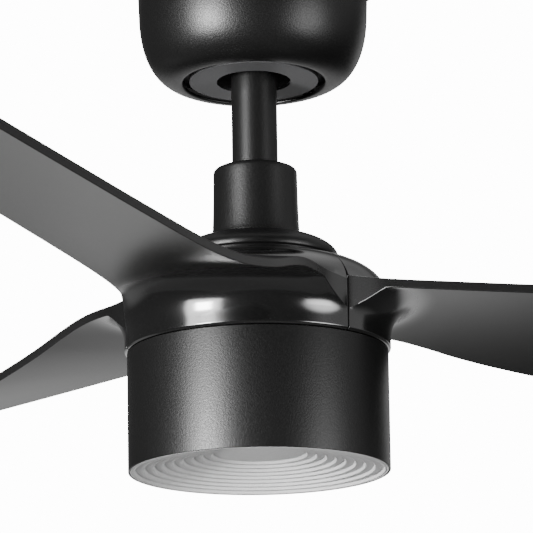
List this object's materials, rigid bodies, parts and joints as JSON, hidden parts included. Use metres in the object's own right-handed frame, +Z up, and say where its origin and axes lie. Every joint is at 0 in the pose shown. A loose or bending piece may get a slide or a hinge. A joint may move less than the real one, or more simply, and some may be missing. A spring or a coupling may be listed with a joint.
{
  "type": "ceiling fan with light",
  "caption": "Black ceiling fan with moulded blades that form its hub, a short downrod, a bell canopy and a round light with a ring-stepped frosted lens under the hub.",
  "frame": {"origin": "centre of the ceiling plane, midway between the hanger bracket's two slots, on the fan's axis", "axes": "+Z up into the ceiling along the fan's axis; +X along blade_1 and through the bracket's two slots"},
  "size_m": [1.0207, 1.1546, 0.3],
  "materials": {
    "painted_black": "satin black powder coat with a fine orange-peel",
    "screw_black": "black oxide",
    "abs_black": "moulded black ABS, satin on the blades, glossier on the hub",
    "ring_grey": "flat dark grey moulding",
    "zinc_steel": "zinc plated",
    "bearing_steel": "ground and polished",
    "nylon": "natural nylon",
    "cast_aluminium": "as cast and machined",
    "electrical_steel": "stacked laminations",
    "copper": "enamelled copper wire",
    "magnet": "sintered ferrite",
    "wire_insulation": "PVC insulation",
    "box_plastic": "fine moulded texture",
    "circuit_board": "white solder mask",
    "led": "phosphor under clear resin",
    "frosted_lens": "frosted, light-diffusing, unlit"
  },
  "bodies": {
    "ceiling_mount": {"hanger_bracket": "zinc_steel", "canopy": "painted_black", "canopy_screws": "screw_black", "canopy_cover_ring": "ring_grey", "receiver_box": "box_plastic", "terminal_block": "nylon", "terminal_screws": "zinc_steel"},
    "hanging_frame": {"downrod": "painted_black", "coupling_cover": "painted_black", "light_housing": "painted_black", "ball_pin": "zinc_steel", "ball_set_screw": "zinc_steel", "clevis_pin": "zinc_steel", "hairpin": "zinc_steel", "yoke_set_screws": "zinc_steel", "light_plate": "zinc_steel", "shaft_nut": "zinc_steel", "lamp_screws": "zinc_steel", "standoffs": "zinc_steel", "motor_shaft": "bearing_steel", "upper_inner_race": "bearing_steel", "lower_inner_race": "bearing_steel", "hanger_ball": "nylon", "light_plug": "nylon", "rod_plug": "nylon", "heat_plate": "cast_aluminium", "yoke": "cast_aluminium", "stator_core": "electrical_steel", "windings": "copper", "wire_bundle": "wire_insulation", "led_driver": "box_plastic", "led_board": "circuit_board", "led_chips": "led", "lens": "frosted_lens"},
    "rotor": {"motor_top_cover": "cast_aluminium", "motor_bottom_cover": "cast_aluminium", "motor_screws": "zinc_steel", "rotor_iron": "zinc_steel", "magnets": "magnet", "upper_outer_race": "bearing_steel", "lower_outer_race": "bearing_steel", "blade_1": "abs_black", "blade_2": "abs_black", "blade_3": "abs_black", "blade_screws": "zinc_steel", "rotor_cap": "painted_black"},
    "upper_bearing": {"upper_bearing_balls": "bearing_steel", "upper_bearing_cage": "nylon"},
    "lower_bearing": {"lower_bearing_balls": "bearing_steel", "lower_bearing_cage": "nylon"}
  },
  "joints": [
    {"name": "rod_swing", "type": "hinge", "parent": "ceiling_mount", "child": "hanging_frame", "pos_m": [0, 0, -0.034], "axis": [1, 0, 0], "range_deg": [-12, 12]},
    {"name": "rotor_spin", "type": "hinge", "parent": "hanging_frame", "child": "rotor", "pos_m": [0, 0, -0.2], "axis": [0, 0, 1], "continuous": true},
    {"name": "upper_cage_turn", "type": "hinge", "parent": "hanging_frame", "child": "upper_bearing", "pos_m": [0, 0, -0.1905], "axis": [0, 0, 1], "continuous": true},
    {"name": "lower_cage_turn", "type": "hinge", "parent": "hanging_frame", "child": "lower_bearing", "pos_m": [0, 0, -0.2195], "axis": [0, 0, 1], "continuous": true}
  ],
  "couplings": [
    {"joint": "upper_cage_turn", "follows": "rotor_spin", "ratio": 0.62},
    {"joint": "lower_cage_turn", "follows": "rotor_spin", "ratio": 0.62}
  ]
}
